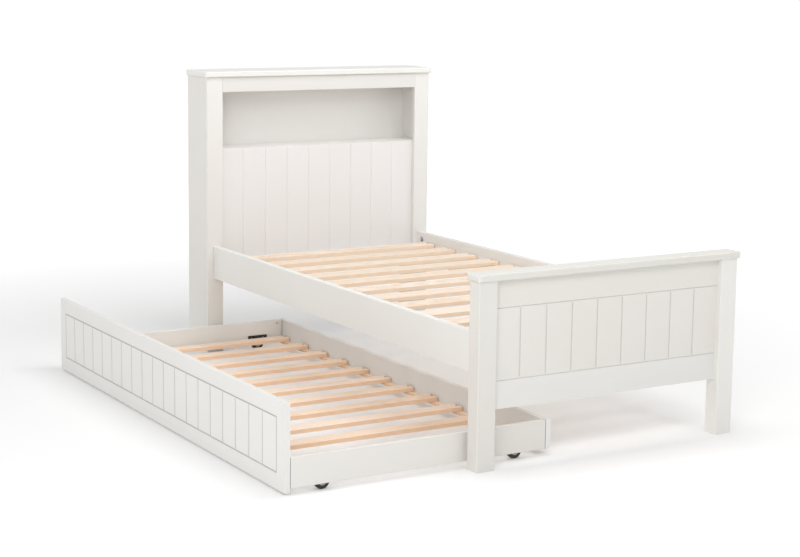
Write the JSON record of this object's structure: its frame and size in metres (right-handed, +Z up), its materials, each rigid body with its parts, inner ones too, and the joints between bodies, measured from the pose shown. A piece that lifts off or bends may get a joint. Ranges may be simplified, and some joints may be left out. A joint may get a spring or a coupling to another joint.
{
  "type": "trundle bed",
  "caption": "Single bed with a bookcase headboard, panelled footboard and slats, and a low slatted trundle that rolls out from under one side on wheels.",
  "frame": {"origin": "middle of the floor area that the bed and the rolled-out trundle cover together, at floor level", "axes": "+X across the bed to its right, +Y from the foot to the head, +Z up. The trundle rolls out towards -X"},
  "size_m": [1.648, 2.139, 1.119],
  "materials": {
    "white_paint": "satin off-white paint over smooth timber boards",
    "pine": "planed bare pine",
    "beech": "turned bare beech",
    "zinc_steel": "bright zinc plate",
    "black_screws": "black phosphate",
    "brass": "plain turned brass",
    "black_bracket": "satin black paint on folded steel",
    "black_tyre": "smooth hard rubber",
    "wheel_hub": "moulded cream plastic"
  },
  "bodies": {
    "bed_frame": {"headboard_stile_left": "white_paint", "headboard_stile_right": "white_paint", "headboard_side_left": "white_paint", "headboard_side_right": "white_paint", "headboard_cap": "white_paint", "headboard_top_rail": "white_paint", "headboard_shelf": "white_paint", "headboard_panel": "white_paint", "headboard_back_panel": "white_paint", "footboard_post_left": "white_paint", "footboard_post_right": "white_paint", "footboard_cap": "white_paint", "footboard_top_rail": "white_paint", "footboard_bottom_rail": "white_paint", "footboard_panel": "white_paint", "side_rail_left": "white_paint", "side_rail_right": "white_paint", "slat_ledger_left": "pine", "slat_ledger_right": "pine", "bed_slats": "pine", "headboard_dowels": "beech", "footboard_dowels": "beech", "back_panel_screws": "zinc_steel", "bed_slat_screws": "black_screws", "ledger_screws": "black_screws", "bed_bolts": "zinc_steel", "bed_bolt_nuts": "zinc_steel", "threaded_inserts": "brass"},
    "trundle": {"trundle_front_panel": "white_paint", "trundle_foot_end": "white_paint", "trundle_head_end": "white_paint", "trundle_back_board": "white_paint", "trundle_ledger_front": "pine", "trundle_ledger_back": "pine", "trundle_slats": "pine", "trundle_slat_screws": "black_screws", "trundle_ledger_screws": "black_screws", "trundle_corner_bolts": "zinc_steel", "trundle_barrel_nuts": "zinc_steel", "trundle_cam_locks": "zinc_steel", "trundle_cam_pins": "zinc_steel", "caster_screws": "zinc_steel", "caster_axles": "zinc_steel", "caster_bracket_foot_front": "black_bracket", "caster_bracket_foot_back": "black_bracket", "caster_bracket_head_front": "black_bracket", "caster_bracket_head_back": "black_bracket"},
    "wheel_foot_front": {"wheel_tyre_foot_front": "black_tyre", "wheel_hub_foot_front": "wheel_hub"},
    "wheel_foot_back": {"wheel_tyre_foot_back": "black_tyre", "wheel_hub_foot_back": "wheel_hub"},
    "wheel_head_front": {"wheel_tyre_head_front": "black_tyre", "wheel_hub_head_front": "wheel_hub"},
    "wheel_head_back": {"wheel_tyre_head_back": "black_tyre", "wheel_hub_head_back": "wheel_hub"}
  },
  "joints": [
    {"name": "trundle_slide", "type": "slide", "parent": "bed_frame", "child": "trundle", "axis": [1, 0, 0], "range_m": [-0.33, 0.644]},
    {"name": "wheel_foot_front_spin", "type": "hinge", "parent": "trundle", "child": "wheel_foot_front", "pos_m": [-0.694, -0.97, 0.025], "axis": [0, 1, 0], "continuous": true},
    {"name": "wheel_foot_back_spin", "type": "hinge", "parent": "trundle", "child": "wheel_foot_back", "pos_m": [-0.005, -0.97, 0.025], "axis": [0, 1, 0], "continuous": true},
    {"name": "wheel_head_front_spin", "type": "hinge", "parent": "trundle", "child": "wheel_head_front", "pos_m": [-0.694, 0.85, 0.025], "axis": [0, 1, 0], "continuous": true},
    {"name": "wheel_head_back_spin", "type": "hinge", "parent": "trundle", "child": "wheel_head_back", "pos_m": [-0.005, 0.85, 0.025], "axis": [0, 1, 0], "continuous": true}
  ],
  "couplings": [
    {"joint": "wheel_foot_front_spin", "follows": "trundle_slide", "rad_per_m": 40},
    {"joint": "wheel_foot_back_spin", "follows": "trundle_slide", "rad_per_m": 40},
    {"joint": "wheel_head_front_spin", "follows": "trundle_slide", "rad_per_m": 40},
    {"joint": "wheel_head_back_spin", "follows": "trundle_slide", "rad_per_m": 40}
  ]
}
